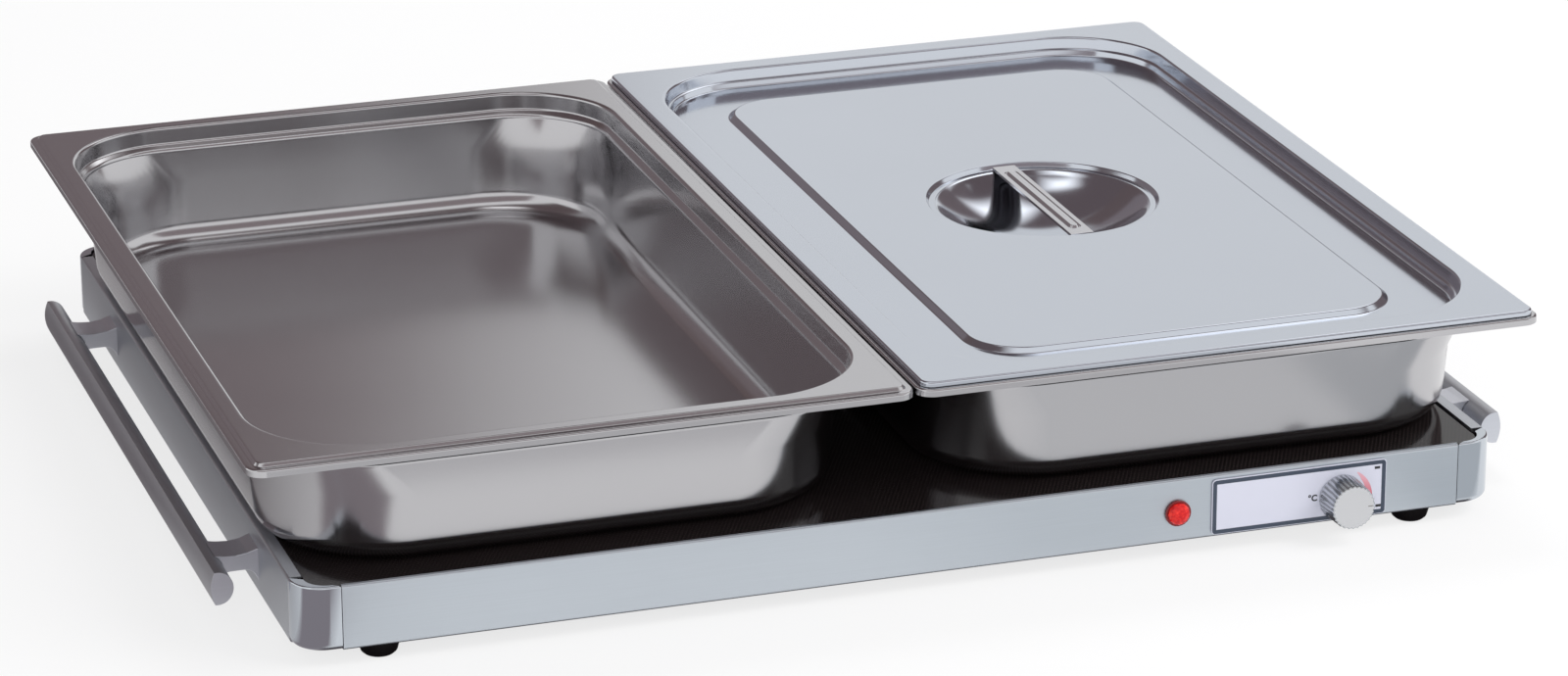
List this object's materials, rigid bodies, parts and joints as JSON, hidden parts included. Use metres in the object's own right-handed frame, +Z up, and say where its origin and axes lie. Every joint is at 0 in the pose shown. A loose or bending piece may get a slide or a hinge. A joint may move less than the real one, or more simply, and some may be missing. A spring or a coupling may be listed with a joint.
{
  "type": "electric food warmer tray",
  "caption": "Table-top electric food warmer: a framed black glass hotplate with carrying bars and a dial, gastronorm pans standing on it and a lift-off lid with a recessed grip.",
  "frame": {"origin": "on the table, under the middle of the warmer's overall box with its pans, lid and knob in place", "axes": "+X to the right along the front, +Y to the back, +Z up; the knob and lamp face -Y"},
  "size_m": [0.6666, 0.5456, 0.1059],
  "materials": {
    "anodised_aluminium": "satin anodised",
    "chromed_casting": "bright chrome",
    "black_glass": "gloss black with a fine printed dot pattern",
    "silicone": "matt",
    "plain_aluminium": "mill",
    "ceramic": "matt ceramic",
    "fibre": "matt fibre mat",
    "dark_plastic": "satin",
    "brass": "satin",
    "sheet_steel": "galvanised",
    "foot_rubber": "matt",
    "printed_panel": "pale satin with a dark border",
    "knob_chrome": "bright fluted side and spun face",
    "red_lens": "gloss faceted",
    "pan_steel": "satin",
    "lid_steel": "polished"
  },
  "bodies": {
    "base": {"front_rail": "anodised_aluminium", "rear_rail": "anodised_aluminium", "left_rail": "anodised_aluminium", "right_rail": "anodised_aluminium", "corner_front_left": "chromed_casting", "corner_front_right": "chromed_casting", "corner_rear_left": "chromed_casting", "corner_rear_right": "chromed_casting", "glass_plate": "black_glass", "glass_seal": "silicone", "heat_spreader": "plain_aluminium", "heating_mat": "ceramic", "insulation_mat": "fibre", "thermal_cutout": "dark_plastic", "sensor_bulb": "brass", "bottom_plate": "sheet_steel", "foot_front_left": "foot_rubber", "foot_front_right": "foot_rubber", "foot_rear_left": "foot_rubber", "foot_rear_right": "foot_rubber", "control_panel": "printed_panel", "thermostat_body": "sheet_steel", "lamp_body": "dark_plastic", "lamp_lens": "red_lens", "cable_gland": "dark_plastic", "terminal_block": "ceramic", "left_handle_bar": "anodised_aluminium", "left_handle_post_front": "anodised_aluminium", "left_handle_post_rear": "anodised_aluminium", "right_handle_bar": "anodised_aluminium", "right_handle_post_front": "anodised_aluminium", "right_handle_post_rear": "anodised_aluminium"},
    "knob": {"knob": "knob_chrome", "thermostat_spindle": "brass"},
    "left_pan": {"left_pan": "pan_steel"},
    "right_pan": {"right_pan": "pan_steel"},
    "lid": {"lid": "lid_steel", "lid_handle": "lid_steel"}
  },
  "joints": [
    {"name": "knob_turn", "type": "hinge", "parent": "base", "child": "knob", "pos_m": [0.2205, -0.26, 0.021], "axis": [0, 1, 0], "range_deg": [0, 270]},
    {"name": "left_pan_lift", "type": "slide", "parent": "base", "child": "left_pan", "axis": [0, 0, 1], "range_m": [0, 0.12]},
    {"name": "right_pan_lift", "type": "slide", "parent": "base", "child": "right_pan", "axis": [0, 0, 1], "range_m": [0, 0.12]},
    {"name": "lid_lift", "type": "slide", "parent": "right_pan", "child": "lid", "axis": [0, 0, 1], "range_m": [0, 0.1]}
  ]
}
